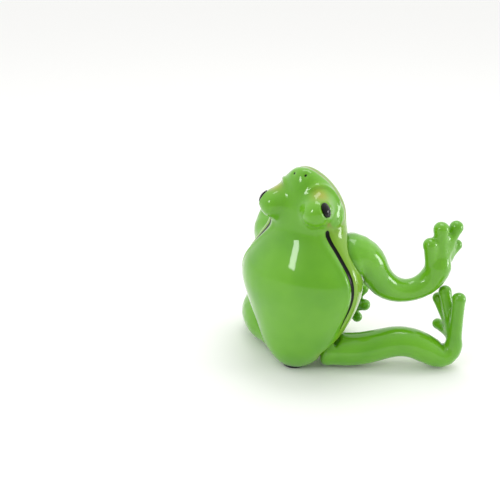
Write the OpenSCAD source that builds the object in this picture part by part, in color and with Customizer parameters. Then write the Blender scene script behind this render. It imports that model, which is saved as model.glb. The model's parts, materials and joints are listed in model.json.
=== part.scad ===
// Jointed tree frog figure: two enamelled tin-alloy shells for the body, and four castings
// for the limbs, each swivelling on a steel pin that runs in a bush pressed into the body.
// Frame: +Z up, +X to the frog's right, +Y forward (its belly side), -Y its back.
// Origin: on the ground, at the middle of the rest pad under the rump.

/* [Body] */
// Thickness of the cast shell walls
wall = 1.6; // [1.4:0.1:1.8]
// Radius of the eye bulges
eye_r = 5.0; // [4.8:0.1:5.2]
// Radius of the bead set in each eye bulge
bead_r = 2.4; // [2.2:0.1:2.6]
// How far above level the eyes look
eye_rise = 28; // [24:1:32]

/* [Limbs] */
// Angle from the sideways axis, towards the front, of the plane that the limb roots face
splay = 33; // [31:1:35]
// Upward tilt of the shoulder pins, outwards
shoulder_tilt = 21; // [18:1:24]
// Radius of the round root of each arm
arm_root_r = 7.6; // [7.2:0.1:7.8]
// Radius of the round root of each leg
leg_root_r = 5.8; // [5.5:0.1:5.9]
// Gap all round between a limb and the body
joint_gap = 0.3; // [0.25:0.05:0.35]

/* [Pivots] */
// Diameter of the steel pins
pin_d = 3.0; // [2.6:0.1:3.2]
// Radial clearance between a pin and its bush
pin_clear = 0.05; // [0.03:0.01:0.1]
// Wall of a bush
bush_wall = 0.9; // [0.7:0.1:1.1]
// Length of a bush
bush_len = 4.6; // [4:0.2:5]

/* [Hidden] */
SIDES = ["right", "left"];

// Facets
body_sides = 32;
limb_sides = 16;
ball_fn = 14;
web_fn = 8;
round_fn = 48;
cup_fn = 32;
ring_gap = 2.2;
far = 60;
cup_reach = 20;

// Pivots
// Lengths of the round roots, and how far the inner end of each is rounded
right_arm_root = 6;
left_arm_root = 5;
leg_root = 4.4;
arm_root_round = 0.8;
leg_root_round = 2.4;
washer_t = 0.6;
clip_t = 1.2;
pin_tail = 0.6;
arm_pin_grip = 8;
leg_pin_grip = 6;
arm_swing = 22;
leg_swing = 16;
washer_rim = 0.8;
clip_rim = 0.6;
bush_r = pin_d / 2 + pin_clear + bush_wall;
clip_room_r = 4;
shoulder_room = 5;
hip_room = 3.4;

// Pieces inside the body
dowel_r = 1.25;
dowel_len = 9;
dowel_end_room = 0.4;
// Places of the dowels on the middle plane: forward, height
dowel_at = [[0.4, 46], [0.4, 21], [8.8, 60]];
pad_r = 4.0;
pad_t = 1.4;

// Eyes: middle of a bulge, how far back it looks, and the bead's width for its length, depth
// and dome
eye_at = [7.8, -2.4, 58.2];
eye_back = 3;
bead_oval = 0.8;
bead_seat = 1.0;
bead_dome = 0.75;
bead_dome_r = (bead_r * bead_r + bead_dome * bead_dome) / (2 * bead_dome);
bead_rim = sqrt(eye_r * eye_r - bead_r * bead_r);
// Each bulge runs into the head this way
eye_blend = [-0.6, 3.0, 0.8];
// The brow ridge runs from an eye to the nostril beside the snout's tip
brow = [7.0, 0.8, 61.4];
nostril = [2.0, 2.6, 67.8];
brow_r = 2.5;
nostril_r = 1.3;

// Digits: share of the pad's radius that the stem has. Half thickness of what fills the space
// between them, and how far along them it reaches: a web on a foot, a fleshy palm on a hand
stem_share = 0.9;
web_reach = 0.62;
web_t = 0.42;
palm_reach = 0.6;
palm_t = 2.3;

// Where each pin's line leaves its socket floor: reach along the splay direction, offset
// forward of it, height
shoulder_floor = [14.2, 2.0, 38.4];
hip_floor = [8.4, -1.2, 6.2];

// How deep the back is for the belly's depth, and the heights that the hollow inside runs between
back_share = 0.93;
hollow = [3.5, 66];
hollow_sides = 24;
// Body sections: height, middle (forward), half width, half depth
torso = [
    [0.7, -0.2, 4.4, 4.2], [1.8, 0, 6.6, 6.0], [4, 0.4, 9.0, 8.0], [8, 1.4, 12.2, 10.6],
    [14, 3.2, 15.8, 13.4], [22, 3.8, 19.4, 15.4], [30, 3.4, 21.6, 16.2], [37, 3.4, 20.8, 15.4],
    [44, 4.6, 16.8, 13.0], [50, 6.4, 13.6, 11.4], [56, 6.6, 12.8, 11.0], [61, 6.2, 10.8, 9.6],
    [65.5, 5.2, 7.8, 7.2], [68.8, 4.0, 4.6, 4.4], [70.4, 3.4, 2.0, 2.0]
];
// Line on which the two shells meet, the same on both flanks: forward, height
seam = [[0.4, -2], [0.4, 3], [0.4, 50], [2.6, 52], [8.0, 53.6], [9.2, 56], [9.0, 59],
    [7.4, 65.5], [4.4, 70], [3.4, 73]];

// A smooth curve through a list of points or sections, n steps to each span
function knot(p, i) = p[max(0, min(len(p) - 1, i))];
function curve_at(p, i, t) =
    let (a = knot(p, i - 1), b = knot(p, i), c = knot(p, i + 1), d = knot(p, i + 2))
    0.5 * (2 * b + (c - a) * t + (2 * a - 5 * b + 4 * c - d) * t * t
        + (3 * b - a - 3 * c + d) * t * t * t);
function curve(p, n) = concat(
    [for (i = [0 : len(p) - 2], k = [0 : n - 1]) curve_at(p, i, k / n)],
    [p[len(p) - 1]]);

// A closed skin over rings that all have the same number of points
module skin(rings) {
    m = len(rings[0]);
    n = len(rings);
    polyhedron(
        points = [for (r = rings, p = r) p],
        faces = concat(
            [[for (k = [0 : m - 1]) k]],
            [for (i = [0 : n - 2], k = [0 : m - 1], h = [0, 1])
                let (a = i * m + k, b = i * m + (k + 1) % m, c = a + m, d = b + m)
                h == 0 ? [a, d, b] : [a, c, d]],
            [[for (k = [m - 1 : -1 : 0]) (n - 1) * m + k]]));
}

// One level ring of the body, drawn in by inset all round; the back is flatter than the belly
function body_ring(s, inset, sides) =
    [for (k = [0 : sides - 1])
        let (t = 360 * k / sides, flat = sin(t) < 0 ? back_share : 1)
        [(s[2] - inset) * cos(t), s[1] + (s[3] * flat - inset) * sin(t), s[0]]];
module torso_solid(inset = 0, steps = 3, sides = body_sides) {
    skin([for (s = curve(torso, steps)) body_ring(s, inset, sides)]);
}
// The hollow inside runs from above the rump to under the snout
module cavity() {
    middle = [for (s = torso) if (s[0] > hollow[0] && s[0] < hollow[1]) s];
    skin([for (s = curve(middle, 2)) body_ring(s, wall, hollow_sides)]);
}

// A limb tube: sections are place and radius, and rings stand square to the path
function unit(v) = v / max(norm(v), 0.0001);
function place(s) = [s[0], s[1], s[2]];
function across(d) = unit(cross(d, abs(d[2]) > 0.97 ? [0, 1, 0] : [0, 0, 1]));
// Carries the ring's own sideways direction along the path, so that it doesn't twist
function frames(c, i, e) = i == len(c) ? [] :
    let (d = unit(place(knot(c, i + 1) - knot(c, i - 1))),
         f = unit(e - (e * d) * d))
    concat([[d, f]], frames(c, i + 1, f));
module tube(c) {
    f = frames(c, 0, across(unit(place(c[1] - c[0]))));
    skin([for (i = [0 : len(c) - 1])
        let (e = f[i][1], g = cross(f[i][0], e))
        [for (k = [0 : limb_sides - 1]) let (t = 360 * k / limb_sides)
            place(c[i]) + c[i][3] * (e * cos(t) + g * sin(t))]]);
}

// A limb runs on in stretches. Each has its length, how far its heading turns to the left and
// how far upwards along it, and the limb's radius at its end.
function heading(az, el) = [cos(az) * cos(el), sin(az) * cos(el), sin(el)];
function ease(t) = t * t * (3 - 2 * t);
function walk(p, r, az, el, runs, i = 0, k = 0) = i == len(runs) ? [concat(p, r)] :
    let (s = runs[i], n = ceil(s[0] / ring_gap), t = (k + 0.5) / n, last = k + 1 == n,
         q = p + s[0] / n * heading(az + s[1] * t, el + s[2] * t))
    concat([concat(p, r + (s[3] - r) * ease(k / n))],
        last ? walk(q, s[3], az + s[1], el + s[2], runs, i + 1, 0)
            : walk(q, r, az, el, runs, i, k + 1));

module ball(p, r, fn = ball_fn) { translate(place(p)) sphere(r, $fn = fn); }
// A finger or toe: a stem that leaves the palm, with a round pad at its tip
module digit(palm, palm_r, way, length, pad) {
    stem = pad * stem_share;
    middle = palm + way * length / 2;
    tip = palm + way * length;
    hull() { ball(palm, palm_r); ball(middle, stem); }
    hull() { ball(middle, stem); ball(tip, stem); }
    ball(tip, pad);
}
// Digits fan out in an upright plane that faces across az. Each has its angle above level,
// its length, its pad's radius, and how many rings back from the limb's end it leaves.
function fan_way(az, a) = [cos(az) * cos(a), sin(az) * cos(a), sin(a)];
function leaves(c, d) = place(c[len(c) - 1 - d[3]]);
module fan(c, palm_r, az, digits) {
    for (d = digits) digit(leaves(c, d), palm_r, fan_way(az, d[0]), d[1], d[2]);
}
module filling(root, c, az, digits, reach, t, fn) {
    for (i = [0 : len(digits) - 2])
        hull() {
            ball(root, t, fn);
            for (d = [digits[i], digits[i + 1]])
                ball(leaves(c, d) + fan_way(az, d[0]) * d[1] * reach, t, fn);
        }
}
// A limb from its start to its digits, with webs on a foot and a fleshy palm on a hand
module limb(start, r, az, el, runs, palm_r, fan_az, digits, webbed) {
    c = walk(start, r, az, el, runs);
    tube(c);
    fan(c, palm_r, fan_az, digits);
    if (webbed) filling(c[len(c) - 1], c, fan_az, digits, web_reach, web_t, web_fn);
    else filling(c[len(c) - 3], c, fan_az, digits, palm_reach, palm_t, ball_fn);
}

// Reach along the splay direction, offset forward of it, height
function posed(p) =
    [p[0] * cos(splay) - p[1] * sin(splay), p[0] * sin(splay) + p[1] * cos(splay), p[2]];

// Local frame of a pivot: origin on its socket floor, +Z outwards along its pin
module at_pivot(floor_at, tilt, side) {
    p = posed(floor_at);
    mirror([side == "left" ? 1 : 0, 0, 0])
        translate(p) rotate([0, 90 - tilt, splay]) children();
}
module at_shoulder(side) { at_pivot(shoulder_floor, shoulder_tilt, side) children(); }
module at_hip(side) { at_pivot(hip_floor, 0, side) children(); }
// Turns its children about a pivot's line
module swung(floor_at, tilt, side, angle) {
    p = posed(floor_at);
    m = side == "left" ? -1 : 1;
    c = [m * p[0], p[1], p[2]];
    v = [m * cos(tilt) * cos(splay), cos(tilt) * sin(splay), sin(tilt)];
    translate(c) rotate(angle, v) translate(-c) children();
}

// Eye bulges, with the brow ridges that run from them to the nostrils
module head_features() {
    for (m = [-1, 1]) mirror([m < 0 ? 1 : 0, 0, 0]) {
        hull() {
            ball(eye_at, eye_r);
            ball(eye_at + eye_blend, eye_r);
        }
        for (i = [0 : 2])
            hull()
                for (t = [i / 3, (i + 1) / 3])
                    ball(brow + (nostril - brow) * t, brow_r + (nostril_r - brow_r) * t);
    }
}
// Local frame of an eye: origin in the middle of its bulge, +Z the way the eye looks
module at_eye(side) {
    mirror([side == "left" ? 1 : 0, 0, 0])
        translate(eye_at) rotate([0, 90 - eye_rise, -eye_back]) children();
}
module eye_seats() {
    for (side = SIDES) at_eye(side)
        translate([0, 0, bead_rim - bead_seat]) scale([1, bead_oval, 1])
            cylinder(h = eye_r, r = bead_r, $fn = cup_fn);
}
module outer() {
    torso_solid();
    head_features();
}
// The space in front of the seam
module front_side() {
    s = curve(seam, 3);
    rotate([90, 0, 90]) linear_extrude(2 * far, center = true)
        polygon(concat(s, [[far, 73], [far, -2]]));
}
// Round cups that the limb roots turn in, and the bosses behind them for the bushes
module at_roots(side) {
    at_shoulder(side) children(0);
    at_hip(side) children(1);
}
module cups(r_extra) {
    for (side = SIDES) {
        at_roots(side) {
            translate([0, 0, -wall]) cylinder(h = cup_reach, r = arm_root_r + r_extra, $fn = cup_fn);
            translate([0, 0, -wall]) cylinder(h = cup_reach, r = leg_root_r + r_extra, $fn = cup_fn);
        }
        at_roots(side) {
            boss();
            boss();
        }
    }
}
module boss() { translate([0, 0, -bush_len]) cylinder(h = bush_len, r = bush_r + wall, $fn = cup_fn); }
module bush_bore() {
    translate([0, 0, -bush_len - 1]) cylinder(h = bush_len + 2, r = bush_r, $fn = cup_fn);
}
module sockets() {
    for (side = SIDES)
        at_roots(side) {
            union() {
                cylinder(h = cup_reach, r = arm_root_r + joint_gap, $fn = cup_fn);
                bush_bore();
            }
            union() {
                cylinder(h = cup_reach, r = leg_root_r + joint_gap, $fn = cup_fn);
                bush_bore();
            }
        }
}
// Room for the washers and clips behind the bushes
module clip_bore(h) { cylinder(h = h, r = clip_room_r, $fn = cup_fn); }
module pivot_room() {
    for (side = SIDES)
        at_roots(side) {
            translate([0, 0, -bush_len - shoulder_room]) clip_bore(shoulder_room);
            translate([0, 0, -bush_len - hip_room]) clip_bore(hip_room);
        }
}
module dowel_posts() {
    for (p = dowel_at) translate([0, p[0], p[1]]) rotate([90, 0, 0])
        cylinder(h = far, r = dowel_r + wall, center = true, $fn = round_fn);
}
module dowels(extra) {
    for (p = dowel_at) translate([0, p[0], p[1]]) rotate([90, 0, 0])
        cylinder(h = dowel_len + extra, r = dowel_r, center = true, $fn = round_fn);
}
module pad_recess() { translate([0, 0, -1]) cylinder(h = 1 + pad_t, r = pad_r, $fn = round_fn); }

module walls() {
    difference() {
        intersection() {
            outer();
            union() {
                difference() { outer(); cavity(); }
                dowel_posts();
            }
        }
        dowels(dowel_end_room);
        pad_recess();
    }
}
module back_shell() {
    color("limegreen") difference() {
        walls();
        front_side();
        cups(joint_gap + wall);
        pivot_room();
        eye_seats();
    }
}
module belly_shell() {
    color("yellowgreen") difference() {
        union() {
            intersection() { walls(); front_side(); }
            intersection() { outer(); cups(joint_gap + wall); }
        }
        sockets();
        pivot_room();
        pad_recess();
    }
}
module shell_dowels() { color("silver") dowels(0); }
module rump_pad() {
    color("dimgray") cylinder(h = pad_t, r = pad_r, $fn = round_fn);
}
// A domed bead pressed into its seat
module eye_bead() {
    color("black") translate([0, 0, bead_rim - bead_seat]) scale([1, bead_oval, 1]) intersection() {
        cylinder(h = bead_seat + bead_dome, r = bead_r, $fn = cup_fn);
        translate([0, 0, bead_seat + bead_dome - bead_dome_r]) sphere(bead_dome_r, $fn = cup_fn);
    }
}

// Cuts a limb back wherever it would come within the gap of the body over its swing
module relieved(floor_at, tilt, side, swing) {
    difference() {
        children();
        for (angle = [-swing, 0, swing])
            swung(floor_at, tilt, side, angle) torso_solid(-joint_gap, 2, hollow_sides);
        minkowski() { head_features(); cube(2 * joint_gap, center = true); }
    }
}
// Round root that turns in the socket, with its inner end rounded over
module root(r, length, rounding) {
    translate([0, 0, joint_gap]) rotate_extrude($fn = cup_fn) hull() {
        translate([0, rounding]) square([r, length - rounding]);
        square([r - rounding, rounding]);
        intersection() {
            translate([r - rounding, rounding]) circle(rounding, $fn = limb_sides);
            square([r, length]);
        }
    }
}
module pin_hole(grip) { cylinder(h = grip, r = pin_d / 2, $fn = round_fn); }

// An arm or leg on its round root, relieved over its swing and drilled for its pin
module arm(side, swing, root_length) {
    color("limegreen") difference() {
        union() {
            at_shoulder(side) root(arm_root_r, root_length, arm_root_round);
            relieved(shoulder_floor, shoulder_tilt, side, swing) children();
        }
        at_shoulder(side) pin_hole(arm_pin_grip);
    }
}
module leg(side) {
    color("limegreen") difference() {
        union() {
            at_hip(side) root(leg_root_r, leg_root, leg_root_round);
            relieved(hip_floor, 0, side, leg_swing) children();
        }
        at_hip(side) pin_hole(leg_pin_grip);
    }
}
// Falls from the shoulder, bends round in a U and lifts an open hand
module right_arm() {
    arm("right", arm_swing, right_arm_root)
        limb(posed([15.6, 2, 39.2]), 8.4, splay + 4, 30,
            [[9, 0, -84, 6.4], [8, 0, 0, 5.0], [13, 0, 66, 3.9], [13, 0, 70, 4.5], [3, 0, 2, 3.4]],
            3.2, splay + 27,
            [[102, 12, 2.7, 4], [95, 10, 2.8, 0], [60, 11, 2.5, 0], [48, 13, 2.1, 4]], false);
}
// Turns forward and up, with the hand open in front of the left cheek
module left_arm() {
    arm("left", arm_swing / 2, left_arm_root)
        limb([-14.2, 10.2, 38.9], 7.4, 146, 20,
            [[5.6, -10, 12, 6.2], [5.6, -40, 20, 4.9], [5.6, -60, -10, 4.1], [5, -30, -6, 3.0]],
            3, -30, [[14, 7, 2.2, 0], [40, 7.6, 2.3, 0], [68, 6, 2.3, 0], [150, 4.4, 2.0, 0]], false);
}
// Lies out along the ground on its heel, with the foot bent upright
module right_leg() {
    leg("right")
        limb(posed([9.6, -1.2, 6.2]), 5.6, splay - 2, 0,
            [[9.3, 0, 0, 5.8], [6.2, 0, 16, 5.6], [7.2, 0, 0, 5.3], [11.5, 0, -44, 5.1],
                [6, 0, 0, 4.7], [8.2, 0, 118, 3.1], [3.2, 0, 0, 2.5]],
            2.5, splay + 117,
            [[90, 14.2, 2.5, 0], [63, 15.6, 2.4, 0], [45, 14.4, 2.1, 0], [4, 9, 2.0, 0]], true);
}
// Folds forward round the knee and brings the foot across in front
module left_leg() {
    leg("left")
        limb([-9.4, 4.2, 6.2], 5.6, 150, 8,
            [[9, 0, 4, 7.4], [10.5, -60, -12, 8.3], [10.5, -60, 0, 6.8], [16, -34, 4, 4.8],
                [8, -4, 12, 3.0]],
            3, -15, [[-28, 5, 2.0, 0], [27, 8.4, 2.2, 0], [57, 11.8, 2.1, 0], [89, 10.8, 2.0, 0]], true);
}

// One pivot's turned pieces, all on the local frame of its socket floor
module pin(grip) {
    tail = bush_len + washer_t + joint_gap + clip_t + pin_tail;
    color("silver") translate([0, 0, -tail])
        cylinder(h = tail + grip, r = pin_d / 2, $fn = round_fn);
}
module ring(outer_r, inner_r, t) {
    difference() {
        cylinder(h = t, r = outer_r, $fn = round_fn);
        translate([0, 0, -1]) cylinder(h = t + 2, r = inner_r, $fn = round_fn);
    }
}
module bush() {
    color("goldenrod") translate([0, 0, -bush_len]) ring(bush_r, pin_d / 2 + pin_clear, bush_len);
}
module washer() {
    color("gray") translate([0, 0, -bush_len - washer_t])
        ring(bush_r + washer_rim, pin_d / 2 + joint_gap, washer_t);
}
module clip() {
    color("gray") translate([0, 0, -bush_len - washer_t - joint_gap - clip_t])
        ring(bush_r + clip_rim, pin_d / 2, clip_t);
}

back_shell();
belly_shell();
shell_dowels();
rump_pad();
right_arm();
left_arm();
right_leg();
left_leg();
for (side = SIDES) {
    at_eye(side) eye_bead();
    at_shoulder(side) pin(arm_pin_grip);
    at_shoulder(side) bush();
    at_shoulder(side) washer();
    at_shoulder(side) clip();
    at_hip(side) pin(leg_pin_grip);
    at_hip(side) bush();
    at_hip(side) washer();
    at_hip(side) clip();
}
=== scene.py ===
import json
import math
import bmesh
import bpy
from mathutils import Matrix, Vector
from mathutils.bvhtree import BVHTree


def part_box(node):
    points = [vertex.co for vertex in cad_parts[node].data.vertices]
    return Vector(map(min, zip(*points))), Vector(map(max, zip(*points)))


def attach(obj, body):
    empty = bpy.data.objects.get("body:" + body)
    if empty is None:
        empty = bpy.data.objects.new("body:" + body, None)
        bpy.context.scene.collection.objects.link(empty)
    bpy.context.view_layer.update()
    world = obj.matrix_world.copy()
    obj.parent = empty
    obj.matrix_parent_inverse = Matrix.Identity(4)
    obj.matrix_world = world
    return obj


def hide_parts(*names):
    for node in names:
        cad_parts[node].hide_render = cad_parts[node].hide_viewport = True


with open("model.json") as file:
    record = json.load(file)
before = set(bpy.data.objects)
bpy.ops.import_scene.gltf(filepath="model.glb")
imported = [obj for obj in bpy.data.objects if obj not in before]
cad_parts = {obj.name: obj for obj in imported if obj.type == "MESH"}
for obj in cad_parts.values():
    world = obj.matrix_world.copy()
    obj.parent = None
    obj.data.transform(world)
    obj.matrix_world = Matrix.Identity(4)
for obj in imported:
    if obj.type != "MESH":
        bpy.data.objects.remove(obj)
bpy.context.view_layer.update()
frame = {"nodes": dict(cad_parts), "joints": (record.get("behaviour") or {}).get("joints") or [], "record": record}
mm = 0.001
tints = ("underside", "edgeAndMouthTint", "goldWash", "lineRoom")
print("frame loaded")


def toObject(name, bm):
    mesh = bpy.data.meshes.new(name)
    bm.to_mesh(mesh)
    bm.free()
    piece = bpy.data.objects.new(name, mesh)
    bpy.context.scene.collection.objects.link(piece)
    return piece


def castingCopy(node):
    # a merged copy of one of the frame's own castings
    bm = bmesh.new()
    bm.from_mesh(frame["nodes"][node].data)
    bmesh.ops.remove_doubles(bm, verts=bm.verts, dist=0.001 * mm)
    return bm


def relax(bm, passes, only=None):
    for _ in range(passes):
        bmesh.ops.smooth_vert(bm, verts=only or bm.verts, factor=0.5,
                              use_axis_x=True, use_axis_y=True, use_axis_z=True)


def ease(bm, passes):
    # takes the facets out, then gives back what the smoothing shrank
    before = [v.co.copy() for v in bm.verts]
    relax(bm, passes)
    eased = [v.co.copy() for v in bm.verts]
    for v, was, now in zip(bm.verts, before, eased):
        v.co = was - now
    relax(bm, passes)
    for v, now in zip(bm.verts, eased):
        v.co += now


def flowedSkin(name, castings, voxel, passes):
    # the castings run together into one skin, smooth as a thick flowed coat leaves them
    joined = bmesh.new()
    for node in castings:
        bm = castingCopy(node)
        mesh = bpy.data.meshes.new(node)
        bm.to_mesh(mesh)
        bm.free()
        joined.from_mesh(mesh)
        bpy.data.meshes.remove(mesh)
    piece = toObject(name, joined)
    remesh = piece.modifiers.new("flow", "REMESH")
    remesh.mode = "VOXEL"
    remesh.voxel_size = voxel * mm
    graph = bpy.context.evaluated_depsgraph_get()
    piece.data = bpy.data.meshes.new_from_object(piece.evaluated_get(graph))
    piece.modifiers.clear()
    bm = bmesh.new()
    bm.from_mesh(piece.data)
    ease(bm, passes)
    bm.normal_update()
    return piece, bm


def clamp(value, low=0.0, high=1.0):
    return max(low, min(high, value))


def ramp(value, start, end):
    t = clamp((value - start) / (end - start))
    return t * t * (3 - 2 * t)


def hump(value, width):
    return math.exp(-(value / width) ** 2)


def tintLayers(bm):
    return {key: bm.verts.layers.float.new(key) for key in tints}


def edgeMeasure(v):
    # how sharply the surface turns over at a vertex: above zero on an edge
    around = [e.other_vert(v).co for e in v.link_edges]
    mean = sum(around, Vector()) / len(around)
    span = sum(e.calc_length() for e in v.link_edges) / len(around)
    return (v.co - mean).dot(v.normal) / max(span, 1e-9)


# ---------------------------------------------------------------- materials

def shade(code):
    # sRGB hex to the renderer's linear colour
    parts = [int(code[i:i + 2], 16) / 255 for i in (1, 3, 5)]
    return (*[c / 12.92 if c <= 0.04045 else ((c + 0.055) / 1.055) ** 2.4 for c in parts], 1)


def addNode(tree, kind, settings=None, links=None):
    node = tree.nodes.new(kind)
    for key, value in (settings or {}).items():
        if isinstance(key, int) or key in node.inputs:
            node.inputs[key].default_value = value
        else:
            setattr(node, key, value)
    for key, source in (links or {}).items():
        tree.links.new(source, node.inputs[key])
    return node


def newMaterial(name):
    mat = bpy.data.materials.new(name)
    mat.use_nodes = True
    mat.node_tree.nodes.clear()
    return mat, mat.node_tree


def noise(tree, sizeMm, detail):
    place = addNode(tree, "ShaderNodeTexCoord").outputs["Object"]
    return addNode(tree, "ShaderNodeTexNoise", {"Scale": 1 / (sizeMm * mm), "Detail": detail},
                   {"Vector": place}).outputs["Fac"]


def attribute(tree, name):
    return addNode(tree, "ShaderNodeAttribute", {"attribute_name": name}).outputs["Fac"]


def spread(tree, value, low, high):
    return addNode(tree, "ShaderNodeMapRange", {"From Min": low, "From Max": high},
                   {"Value": value}).outputs["Result"]


def over(tree, factor, base, code):
    # lays one colour over another by a factor
    node = addNode(tree, "ShaderNodeMix", {"data_type": "RGBA"}, {0: factor, 6: base})
    node.inputs[7].default_value = shade(code)
    return node.outputs[2]


def finishMaterial(tree, settings, links):
    shader = addNode(tree, "ShaderNodeBsdfPrincipled", settings, links)
    addNode(tree, "ShaderNodeOutputMaterial", None, {"Surface": shader.outputs["BSDF"]})


enamelLook = {
    "top": "#68AD1C",        # thick coat over the back
    "pooled": "#5AA014",     # where the coat lies deepest
    "under": "#78A824",      # thinner coat on the belly side
    "edge": "#8A6A26",       # gold-brown where it draws thin over the limbs' edges, also laid along the mouth crease
    "gold": "#A8A02C",       # gold wash above and round the eye
    "line": "#040503",       # black enamel laid in the flank groove
    "lineCoat": 0.2,         # the line is duller than the green
    "cloudMm": 14,           # soft drift of the coat's depth
    "peelMm": 2.6,           # long, low waves that a flowed coat dries with
}


def makeEnamel(name, look):
    # Stoved enamel on a tin casting: deep colour under a mirror-smooth clear face
    mat, tree = newMaterial(name)
    base = addNode(tree, "ShaderNodeRGB")
    base.outputs[0].default_value = shade(look["top"])
    cloud = spread(tree, noise(tree, look["cloudMm"], 2.0), 0.4, 0.7)
    colour = over(tree, cloud, base.outputs[0], look["pooled"])
    colour = over(tree, attribute(tree, "underside"), colour, look["under"])
    colour = over(tree, attribute(tree, "edgeAndMouthTint"), colour, look["edge"])
    colour = over(tree, attribute(tree, "goldWash"), colour, look["gold"])
    line = spread(tree, attribute(tree, "lineRoom"), 0.0, 0.12)
    colour = over(tree, line, colour, look["line"])
    coat = addNode(tree, "ShaderNodeMapRange", {"To Min": 1.0, "To Max": look["lineCoat"]},
                   {"Value": line}).outputs["Result"]
    peel = addNode(tree, "ShaderNodeBump", {"Strength": 0.05, "Distance": 0.0002},
                   {"Height": noise(tree, look["peelMm"], 1.0)}).outputs["Normal"]
    finishMaterial(tree, {"Roughness": 0.3, "IOR": 1.5, "Specular IOR Level": 0.1, "Coat Roughness": 0.03,
                          "Coat IOR": 1.5},
                   {"Base Color": colour, "Coat Weight": coat, "Normal": peel, "Coat Normal": peel})
    return mat


def makeGlass(name, code):
    # Black glass bead: a hard, clean highlight with a trace of drawn-glass waver
    mat, tree = newMaterial(name)
    waver = addNode(tree, "ShaderNodeBump", {"Strength": 0.04, "Distance": 0.0001},
                    {"Height": noise(tree, 0.9, 2.0)}).outputs["Normal"]
    finishMaterial(tree, {"Base Color": shade(code), "Roughness": 0.06, "IOR": 1.52,
                          "Specular IOR Level": 0.3}, {"Normal": waver})
    return mat


def makeMetal(name, code, roughness):
    # Turned metal: a soft grain in the gloss, as fine tool marks leave
    mat, tree = newMaterial(name)
    grain = addNode(tree, "ShaderNodeMapRange", {"To Min": roughness * 0.7, "To Max": roughness * 1.3},
                    {"Value": noise(tree, 0.4, 3.0)}).outputs["Result"]
    finishMaterial(tree, {"Base Color": shade(code), "Metallic": 1.0}, {"Roughness": grain})
    return mat


def makeRubber(name, code):
    # Moulded rubber: matt, with the fine grain of its mould
    mat, tree = newMaterial(name)
    grain = addNode(tree, "ShaderNodeBump", {"Strength": 0.4, "Distance": 0.0001},
                    {"Height": noise(tree, 0.3, 3.0)}).outputs["Normal"]
    finishMaterial(tree, {"Base Color": shade(code), "Roughness": 0.7}, {"Normal": grain})
    return mat


greenEnamel = makeEnamel("stovedGreenEnamel", enamelLook)
finishes = {
    "steel": makeMetal("drawnSteel", "#B8B8BA", 0.3),
    "brass": makeMetal("turnedBrass", "#C9A050", 0.3),
    "pad_rubber": makeRubber("mouldedRubber", "#26262A"),
    "eye_bead": makeGlass("blackGlass", "#050505"),
}
print("materials made")

# ---------------------------------------------------------------- body

body = {
    "voxel": 0.48,
    "passes": 42,
    "blend": 1.2,          # half width over which the back's colour runs into the belly's
    "lineTop": -8.3,       # top of the black line, from the eye bead's middle
    "lineLow": -46,        # its bottom, from the same
    "lineHalf": 0.8,      # half width where it is broadest
    "lineTopHalf": 0.62,
    "lineFront": 5,        # the line stops this far forward of the bead
    "lineBroad": 0.68,     # how far up it is broadest
    "grooveDeep": 0.55,
    "grooveWide": 1.1,
    "rimHigh": 0.28,       # raised rim on the back side of the groove
    "rimAt": 2.1,
    "rimWide": 0.7,
    "grooveFade": 8,       # the groove runs out over this height at its bottom
    "grooveEnd": 1.5,      # and over this at its top
    "lineCap": 0.4,        # how far the line's round end runs past its top
    "mouthFrom": 3,        # the mouth's crease comes in over this height above the line
    "mouthDeep": 0.25,
    "mouthWide": 0.6,
    "mouthTint": 0.7,
    "tintWide": 0.35,
}
# Each eye bulge melts into the head over this band, in distance from the bulge's middle
bulge = {"inward": 4.2, "low": 1.9, "near": 3.4, "far": 9.0, "clearOfBead": 3.1, "passes": 60}
# The arch over the cheek is where the head's skin meets a sphere set off from the eye bead
arch = {"out": -0.6, "forward": 1.4, "up": 0.0, "radius": 7.8, "high": 0.6, "wide": 0.65,
        "outerFoot": -3.0, "innerFoot": 3.5, "footFade": 3, "turnOver": 4,
        "noneWithin": 1.5, "fullFrom": 3, "noneBehind": 0.75, "fullAhead": 0.45}
nose = {"apart": 2.1, "down": 1.5, "wide": 0.6, "deep": 0.45, "dark": 0.45, "reach": 8}
goldSpot = {"in": 3.0, "forward": 2.4, "up": 3.6, "size": 2.6, "share": 0.7}

shells = ["back_shell", "belly_shell"]
bodySkin, bm = flowedSkin("bodySkin", shells, body["voxel"], body["passes"])
print("body run together", len(bm.verts))

backTree, bellyTree = [BVHTree.FromBMesh(castingCopy(node)) for node in shells]
beadLow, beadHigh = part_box("right_eye")
bead = (beadLow + beadHigh) / 2 / mm
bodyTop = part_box("back_shell")[1].z / mm
archMiddle = bead + Vector((arch["out"], arch["forward"], arch["up"]))
goldMiddle = bead + Vector((-goldSpot["in"], goldSpot["forward"], goldSpot["up"]))
nostrilHeight = bodyTop - nose["down"]
lineTop, lineLow = bead.z + body["lineTop"], bead.z + body["lineLow"]


def seamReach(place):
    # how far a place is from the line where the shells meet: above zero on the back
    return (bellyTree.find_nearest(place)[3] - backTree.find_nearest(place)[3]) / mm


def lineHalf(height):
    t = (height - lineLow) / (lineTop - lineLow)
    broad = body["lineBroad"]
    if t > broad:
        return body["lineHalf"] - (body["lineHalf"] - body["lineTopHalf"]) * (t - broad) / (1 - broad)
    return body["lineHalf"] * (1 - ((broad - t) / broad) ** 2)


def nostrilReach(place):
    if place.y > bead.y + nose["reach"]:
        return math.inf
    return math.hypot(place.x - nose["apart"], place.z - nostrilHeight)


bulgeMiddle = bead - Vector((bulge["inward"], 0, bulge["low"]))
melting = []
for v in bm.verts:
    place = v.co / mm
    place.x = abs(place.x)
    near = bulge["near"] < (place - bulgeMiddle).length < bulge["far"]
    if near and (place - bead).length > bulge["clearOfBead"]:
        melting.append(v)
relax(bm, bulge["passes"], melting)
bm.normal_update()

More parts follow.
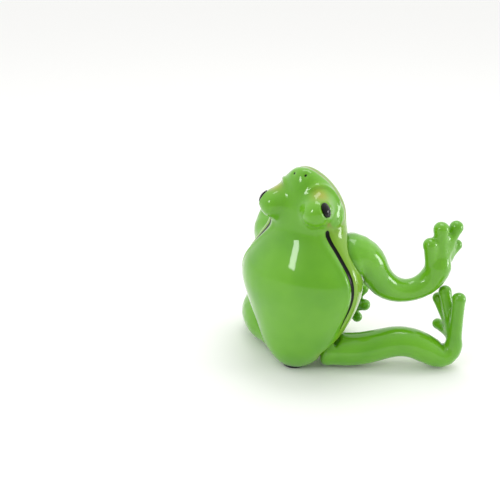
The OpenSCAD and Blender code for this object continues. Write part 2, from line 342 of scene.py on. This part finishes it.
layers = tintLayers(bm)
moves = []
for v in bm.verts:
    place = v.co / mm
    place.x = abs(place.x)
    reach = seamReach(v.co)
    flank = ramp(place.z, lineLow, lineLow + body["grooveFade"])
    flank *= 1 - ramp(place.z, lineTop, lineTop + body["grooveEnd"])
    head = ramp(place.z, lineTop, lineTop + body["mouthFrom"])
    move = flank * (body["rimHigh"] * hump(reach - body["rimAt"], body["rimWide"])
                    - body["grooveDeep"] * hump(reach, body["grooveWide"]))
    move -= head * body["mouthDeep"] * hump(reach, body["mouthWide"])
    fromArch = (place - archMiddle).length - arch["radius"]
    inner = 1 - ramp(place.y, archMiddle.y, archMiddle.y + arch["turnOver"])
    footHeight = bead.z + arch["outerFoot"] + (arch["innerFoot"] - arch["outerFoot"]) * inner
    foot = ramp(place.z, footHeight, footHeight + arch["footFade"])
    foot *= ramp(place.x, arch["noneWithin"], arch["fullFrom"])
    front = ramp((archMiddle.y - place.y) / arch["radius"], arch["noneBehind"], arch["fullAhead"])
    move += foot * front * arch["high"] * hump(fromArch, arch["wide"])
    toNostril = nostrilReach(place)
    move -= nose["deep"] * hump(toNostril, nose["wide"])
    moves.append(v.normal * move * mm)
    room = min(lineHalf(place.z), lineTop - place.z + body["lineCap"],
               bead.y + body["lineFront"] - place.y) - abs(reach)
    v[layers["lineRoom"]] = max(room, nose["dark"] - toNostril, -1)
    v[layers["underside"]] = 1 - ramp(reach, -body["blend"], body["blend"])
    v[layers["goldWash"]] = goldSpot["share"] * hump((place - goldMiddle).length, goldSpot["size"])
    # on the head the same gold-brown is laid as a darker line along the carved mouth crease
    v[layers["edgeAndMouthTint"]] = body["mouthTint"] * head * hump(reach, body["tintWide"])
for v, move in zip(bm.verts, moves):
    v.co += move
relax(bm, 1)
for v in bm.verts:
    v.co.z = min(v.co.z, bodyTop * mm)
bm.to_mesh(bodySkin.data)
bm.free()
print("groove, arch and nostrils formed")

# ---------------------------------------------------------------- limbs

limb = {
    "voxel": 0.3,
    "passes": 40,
    "underWay": Vector((0.1, 0.65, -0.75)).normalized(),
    "underFrom": 0.1,
    "underFull": 0.9,
    "edgeFrom": 0.1,
    "edgeGain": 5,
    "edgeShare": 0.7,
}
limbs = {j["child"]: j for j in frame["joints"]}
skins = {"torso": (bodySkin, shells, "green_enamel")}
for name in limbs:
    piece, bm = flowedSkin(name + "Skin", [name], limb["voxel"], limb["passes"])
    layers = tintLayers(bm)
    for v in bm.verts:
        v[layers["underside"]] = ramp(v.normal.dot(limb["underWay"]), limb["underFrom"], limb["underFull"])
        thin = clamp((edgeMeasure(v) - limb["edgeFrom"]) * limb["edgeGain"])
        v[layers["edgeAndMouthTint"]] = limb["edgeShare"] * thin
        v[layers["lineRoom"]] = -1
    bm.to_mesh(piece.data)
    bm.free()
    skins[name] = (piece, [name], "limb_enamel")
    print("limb run together", name, len(piece.data.vertices))

for rideOn, (piece, nodes, slot) in skins.items():
    for face in piece.data.polygons:
        face.use_smooth = True
    piece.data.materials.clear()
    piece.data.materials.append(greenEnamel)
    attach(piece, rideOn)
    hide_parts(*nodes)

slotOf = {part["node"]: part["material_slot"] for part in frame["record"]["subparts"]}
for name, node in frame["nodes"].items():
    if slotOf[name] in finishes:
        node.data.materials.clear()
        node.data.materials.append(finishes[slotOf[name]])
print("skins and fittings finished")

# ---------------------------------------------------------------- stage

stand = {"size": 8.0, "colour": "#F6F6F4"}
bm = bmesh.new()
bmesh.ops.create_grid(bm, x_segments=1, y_segments=1, size=stand["size"] / 2)
floor = toObject("floor", bm)
floorMat, tree = newMaterial("paperFloor")
finishMaterial(tree, {"Base Color": shade(stand["colour"]), "Roughness": 0.9}, {})
floor.data.materials.append(floorMat)

viewpoint = {"azimuth": 33, "elevation": 24, "distance": 0.28, "aside": 0.0154, "above": 0.0392,
             "lens": 57.6}
az, el = math.radians(viewpoint["azimuth"]), math.radians(viewpoint["elevation"])
rightWay = Vector((math.cos(az), math.sin(az), 0))
ahead = Vector((-math.sin(az) * math.cos(el), math.cos(az) * math.cos(el), -math.sin(el)))
upWay = rightWay.cross(ahead)
camera = bpy.data.objects.new("camera", bpy.data.cameras.new("camera"))
camera.data.lens = viewpoint["lens"]
camera.data.sensor_width = 36
camera.location = (upWay * viewpoint["above"] - rightWay * viewpoint["aside"]
                   - ahead * viewpoint["distance"])
camera.rotation_mode = "QUATERNION"
camera.rotation_quaternion = ahead.to_track_quat("-Z", "Y")
camera.data.clip_start = 0.01
bpy.context.scene.collection.objects.link(camera)
bpy.context.scene.camera = camera

# Softboxes stand round the figure: sideways, towards the lens and up, in metres
softboxes = [
    {"name": "leftBox", "aside": -0.34, "near": 0.3, "up": 0.3,
     "wide": 0.09, "tall": 0.15, "watts": 0.4},
    {"name": "rightBox", "aside": 0.36, "near": 0.04, "up": 0.04,
     "wide": 0.1, "tall": 0.12, "watts": 0.3},
    {"name": "topBox", "aside": 0.05, "near": -0.1, "up": 0.45,
     "wide": 0.3, "tall": 0.16, "watts": 0.5},
]
aim = Vector((0.005, 0.008, 0.035))
level = Vector((math.sin(az), -math.cos(az), 0))
for box in softboxes:
    lamp = bpy.data.objects.new(box["name"], bpy.data.lights.new(box["name"], "AREA"))
    lamp.data.shape = "RECTANGLE"
    lamp.data.size, lamp.data.size_y = box["wide"], box["tall"]
    lamp.data.energy = box["watts"]
    lamp.location = aim + rightWay * box["aside"] + level * box["near"] + Vector((0, 0, box["up"]))
    lamp.rotation_mode = "QUATERNION"
    lamp.rotation_quaternion = (aim - lamp.location).to_track_quat("-Z", "Y")
    bpy.context.scene.collection.objects.link(lamp)

world = bpy.data.worlds.new("studio")
world.use_nodes = True
# The room is white all round and dimmer behind the lens, so that the coat's own colour stays deep
room = {"bright": 1.15, "dim": 0.5}
tree = world.node_tree
way = addNode(tree, "ShaderNodeTexCoord").outputs["Generated"]
behind = addNode(tree, "ShaderNodeVectorMath", {"operation": "DOT_PRODUCT", 1: level},
                 {0: way}).outputs["Value"]
glow = addNode(tree, "ShaderNodeMapRange", {"From Min": 0.0, "From Max": 0.9,
                                            "To Min": room["bright"], "To Max": room["dim"]},
               {"Value": behind}).outputs["Result"]
background = tree.nodes["Background"]
background.inputs["Color"].default_value = shade("#FFFFFF")
tree.links.new(glow, background.inputs["Strength"])
bpy.context.scene.world = world
bpy.context.scene.view_settings.view_transform = "Standard"
print("stage set")
